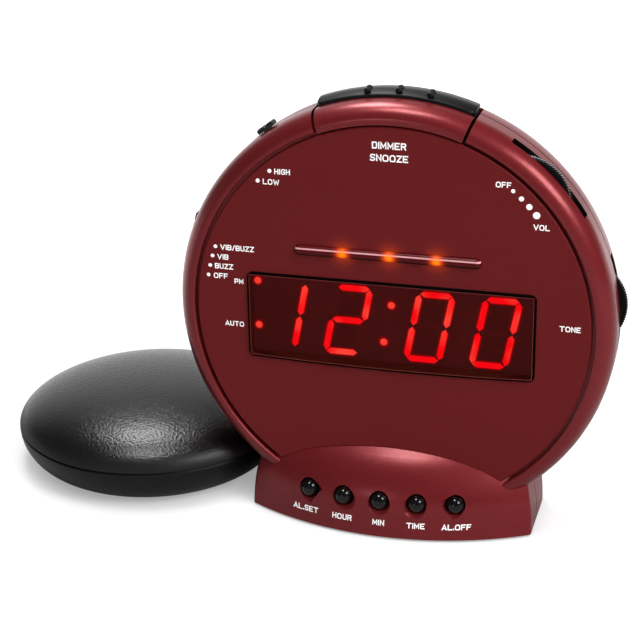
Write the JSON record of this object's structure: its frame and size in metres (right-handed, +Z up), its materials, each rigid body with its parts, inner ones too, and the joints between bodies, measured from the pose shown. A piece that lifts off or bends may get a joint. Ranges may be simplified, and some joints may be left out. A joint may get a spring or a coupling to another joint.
{
  "type": "bed shaker alarm clock",
  "caption": "Round desk alarm clock with a lit digital display, a snooze bar, thumb wheels and push buttons on a moulded foot, with a separate puck-shaped bed shaker beside it.",
  "frame": {"origin": "on the table, below the middle of the face plate's front", "axes": "+X to the right as the clock is seen from the front, +Y to the back, +Z up"},
  "size_m": [0.2065, 0.0938, 0.1399],
  "materials": {
    "maroon_paint": "metallic maroon paint",
    "maroon_face": "satin maroon paint with white print",
    "red_filter": "polished dark red filter",
    "red_lens": "polished red lens",
    "lit_red": "lit segments",
    "lit_amber": "lit lamps",
    "black_plastic": "moulded",
    "gloss_black": "polished",
    "black_rubber": "satin",
    "grained_black": "fine leather grain",
    "circuit_board": "lacquered",
    "steel": "plated",
    "magnet": "sintered",
    "cone_paper": "pressed",
    "battery_wrap": "plain wrap",
    "brass": "turned"
  },
  "bodies": {
    "case": {"front_case": "maroon_paint", "rear_case": "maroon_paint", "face_plate": "maroon_face", "display_window": "red_filter", "light_bar_lens": "red_lens", "display_segments": "lit_red", "alert_leds": "lit_amber", "led_display": "black_plastic", "main_board": "circuit_board", "button_board": "circuit_board", "board_screws": "steel", "case_screws": "steel", "button_switches": "black_plastic", "snooze_switch": "black_plastic", "volume_pot": "black_plastic", "tone_pot": "black_plastic", "level_switch": "steel", "mode_switch": "steel", "speaker_frame": "steel", "speaker_cone": "cone_paper", "speaker_magnet": "magnet", "power_inlet": "black_plastic", "shaker_socket": "black_plastic", "backup_battery": "battery_wrap", "battery_clip": "black_plastic", "rubber_sole": "black_rubber"},
    "snooze": {"snooze_bar": "maroon_paint", "snooze_pad": "black_rubber"},
    "volume": {"volume_wheel": "black_plastic"},
    "tone": {"tone_wheel": "black_plastic"},
    "level": {"level_knob": "black_plastic"},
    "mode": {"mode_knob": "black_plastic"},
    "alarm_set": {"alarm_set_button": "gloss_black"},
    "hour": {"hour_button": "gloss_black"},
    "minute": {"minute_button": "gloss_black"},
    "time": {"time_button": "gloss_black"},
    "alarm_off": {"alarm_off_button": "gloss_black"},
    "battery_door": {"battery_door": "maroon_paint"},
    "shaker": {"shaker_top_shell": "grained_black", "shaker_bottom_shell": "grained_black", "shaker_motor": "steel", "motor_clamp": "steel", "shaker_screws": "steel", "cord_gland": "black_rubber"},
    "rotor": {"motor_shaft": "steel", "eccentric_weight": "brass"}
  },
  "joints": [
    {"name": "snooze_press", "type": "slide", "parent": "case", "child": "snooze", "axis": [0, 0, -1], "range_m": [0, 0.0005], "stiffness_N_per_m": 1500},
    {"name": "volume_turn", "type": "hinge", "parent": "case", "child": "volume", "pos_m": [0.03915, 0, 0.10834], "axis": [0, 1, 0], "range_deg": [0, 270]},
    {"name": "tone_turn", "type": "hinge", "parent": "case", "child": "tone", "pos_m": [0.05637, 0, 0.07462], "axis": [0, 1, 0], "range_deg": [-135, 135]},
    {"name": "level_slide", "type": "slide", "parent": "case", "child": "level", "axis": [-0.8007, 0, -0.599], "range_m": [0, 0.004]},
    {"name": "mode_slide", "type": "slide", "parent": "case", "child": "mode", "axis": [-0.2639, 0, -0.9646], "range_m": [0, 0.009]},
    {"name": "alarm_set_press", "type": "slide", "parent": "case", "child": "alarm_set", "axis": [0, 1, 0], "range_m": [0, 0.0007], "stiffness_N_per_m": 1500},
    {"name": "hour_press", "type": "slide", "parent": "case", "child": "hour", "axis": [0, 1, 0], "range_m": [0, 0.0007], "stiffness_N_per_m": 1500},
    {"name": "minute_press", "type": "slide", "parent": "case", "child": "minute", "axis": [0, 1, 0], "range_m": [0, 0.0007], "stiffness_N_per_m": 1500},
    {"name": "time_press", "type": "slide", "parent": "case", "child": "time", "axis": [0, 1, 0], "range_m": [0, 0.0007], "stiffness_N_per_m": 1500},
    {"name": "alarm_off_press", "type": "slide", "parent": "case", "child": "alarm_off", "axis": [0, 1, 0], "range_m": [0, 0.0007], "stiffness_N_per_m": 1500},
    {"name": "battery_door_open", "type": "hinge", "parent": "case", "child": "battery_door", "pos_m": [0, 0.0316, 0.02285], "axis": [-1, 0, 0], "range_deg": [0, 100]},
    {"name": "shaker_away", "type": "slide", "parent": "case", "child": "shaker", "axis": [-1, 0, 0], "range_m": [0, 0.25]},
    {"name": "weight_spin", "type": "hinge", "parent": "shaker", "child": "rotor", "pos_m": [-0.0901, 0.0305, 0.0132], "axis": [1, 0, 0], "continuous": true}
  ]
}
